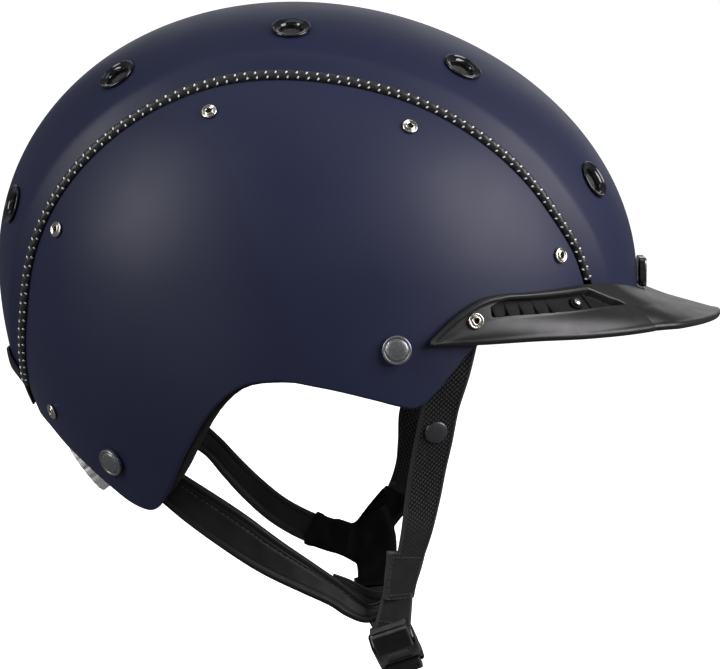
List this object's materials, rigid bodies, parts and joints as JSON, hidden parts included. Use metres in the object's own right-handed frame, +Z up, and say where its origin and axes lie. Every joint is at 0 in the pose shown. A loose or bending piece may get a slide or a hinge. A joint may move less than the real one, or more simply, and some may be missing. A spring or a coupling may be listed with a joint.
{
  "type": "equestrian riding helmet",
  "caption": "Riding helmet with a raised centre band, stitched trim cords, short peak, vents, nape dial and a four-point chin harness with a side-release buckle.",
  "frame": {"origin": "middle of the rider's head, on the level where the shell is widest, midway between its sides", "axes": "+X the way the rider looks, +Z up, -Y to the rider's right"},
  "size_m": [0.2994, 0.2118, 0.278],
  "materials": {
    "matt_navy_shell": "soft-touch matt lacquer",
    "foam": "moulded bead foam",
    "lining_fabric": "knitted lining over soft foam",
    "matt_black_plastic": "moulded, matt",
    "satin_black_visor": "moulded, satin",
    "satin_black_buckle": "moulded, satin",
    "frosted_dial": "frosted, slightly clear",
    "badge_metal": "black plate with a bright border",
    "trim_braid": "braided cord with two rows of bright stitches",
    "bright_eyelets": "polished",
    "dark_screw": "blackened",
    "gunmetal_studs": "dark satin",
    "strap_webbing": "diagonal woven webbing",
    "strap_leather": "folded and stitched",
    "gloss_black_vents": "gloss"
  },
  "bodies": {
    "root": {"center_shell": "matt_navy_shell", "side_shell_right": "matt_navy_shell", "side_shell_left": "matt_navy_shell", "foam_liner": "foam", "headband_pad": "lining_fabric", "crown_pad": "lining_fabric", "rear_trim_plate": "matt_black_plastic", "visor": "satin_black_visor", "front_badge": "badge_metal", "trim_cord_right": "trim_braid", "strap_screw_right": "bright_eyelets", "visor_screw_right": "dark_screw", "pivot_cap_right": "gunmetal_studs", "rear_cap_right": "gunmetal_studs", "front_tab_right": "strap_webbing", "rear_tab_right": "strap_webbing", "eyelet_front_right": "bright_eyelets", "eyelet_upper_front_right": "bright_eyelets", "eyelet_upper_rear_right": "bright_eyelets", "eyelet_rear_right": "bright_eyelets", "eyelet_nape_right": "bright_eyelets", "vent_front_right": "gloss_black_vents", "vent_upper_front_right": "gloss_black_vents", "vent_crown_right": "gloss_black_vents", "vent_upper_rear_right": "gloss_black_vents", "vent_rear_right": "gloss_black_vents", "trim_cord_left": "trim_braid", "strap_screw_left": "bright_eyelets", "visor_screw_left": "dark_screw", "pivot_cap_left": "gunmetal_studs", "rear_cap_left": "gunmetal_studs", "front_tab_left": "strap_webbing", "rear_tab_left": "strap_webbing", "eyelet_front_left": "bright_eyelets", "eyelet_upper_front_left": "bright_eyelets", "eyelet_upper_rear_left": "bright_eyelets", "eyelet_rear_left": "bright_eyelets", "eyelet_nape_left": "bright_eyelets", "vent_front_left": "gloss_black_vents", "vent_upper_front_left": "gloss_black_vents", "vent_crown_left": "gloss_black_vents", "vent_upper_rear_left": "gloss_black_vents", "vent_rear_left": "gloss_black_vents"},
    "cradle": {"cradle_yoke": "matt_black_plastic", "nape_pad": "lining_fabric"},
    "dial": {"dial_knob": "frosted_dial", "dial_pinion": "matt_black_plastic"},
    "band_right": {"rack_band_right": "matt_black_plastic"},
    "band_left": {"rack_band_left": "matt_black_plastic"},
    "straps_right": {"front_strap_right": "strap_webbing", "rear_strap_right": "strap_leather", "strap_stud_right": "gunmetal_studs", "buckle_socket": "satin_black_buckle"},
    "straps_left": {"front_strap_left": "strap_webbing", "rear_strap_left": "strap_leather", "strap_stud_left": "gunmetal_studs", "chin_strap": "strap_webbing", "buckle_clip": "satin_black_buckle"},
    "prong_front": {"buckle_prong_front": "satin_black_buckle"},
    "prong_rear": {"buckle_prong_rear": "satin_black_buckle"}
  },
  "joints": [
    {"name": "cradle_tilt", "type": "hinge", "parent": "root", "child": "cradle", "pos_m": [0.032, 0, -0.025], "axis": [0, 1, 0], "range_deg": [-3, 3]},
    {"name": "dial_turn", "type": "hinge", "parent": "cradle", "child": "dial", "pos_m": [-0.086, 0, -0.074], "axis": [-0.8, 0, -0.6], "range_deg": [-110, 110]},
    {"name": "band_right_draw", "type": "hinge", "parent": "cradle", "child": "band_right", "pos_m": [-0.0412, 0, -0.0404], "axis": [-0.6, 0, 0.8], "range_deg": [-8, 8]},
    {"name": "band_left_draw", "type": "hinge", "parent": "cradle", "child": "band_left", "pos_m": [-0.0412, 0, -0.0404], "axis": [-0.6, 0, 0.8], "range_deg": [-8, 8]},
    {"name": "right_strap_swing", "type": "hinge", "parent": "root", "child": "straps_right", "pos_m": [0.052, -0.0845, -0.049], "axis": [-0.9312, 0.1889, -0.3119], "range_deg": [0, 45]},
    {"name": "left_strap_swing", "type": "hinge", "parent": "root", "child": "straps_left", "pos_m": [0.052, 0.0845, -0.049], "axis": [0.9312, 0.1889, 0.3119], "range_deg": [0, 45]},
    {"name": "prong_front_squeeze", "type": "hinge", "parent": "straps_left", "child": "prong_front", "pos_m": [0.03971, -0.0406, -0.15219], "axis": [0.2874, -0.4253, -0.8582], "range_deg": [0, 6], "stiffness_Nm_per_rad": 0.02},
    {"name": "prong_rear_squeeze", "type": "hinge", "parent": "straps_left", "child": "prong_rear", "pos_m": [0.02715, -0.0406, -0.15639], "axis": [-0.2874, 0.4253, 0.8582], "range_deg": [0, 6], "stiffness_Nm_per_rad": 0.02}
  ],
  "couplings": [
    {"joint": "band_right_draw", "follows": "dial_turn", "ratio": 0.067857},
    {"joint": "band_left_draw", "follows": "dial_turn", "ratio": -0.067857},
    {"joint": "right_strap_swing", "follows": "left_strap_swing", "ratio": 1},
    {"joint": "prong_rear_squeeze", "follows": "prong_front_squeeze", "ratio": 1}
  ]
}
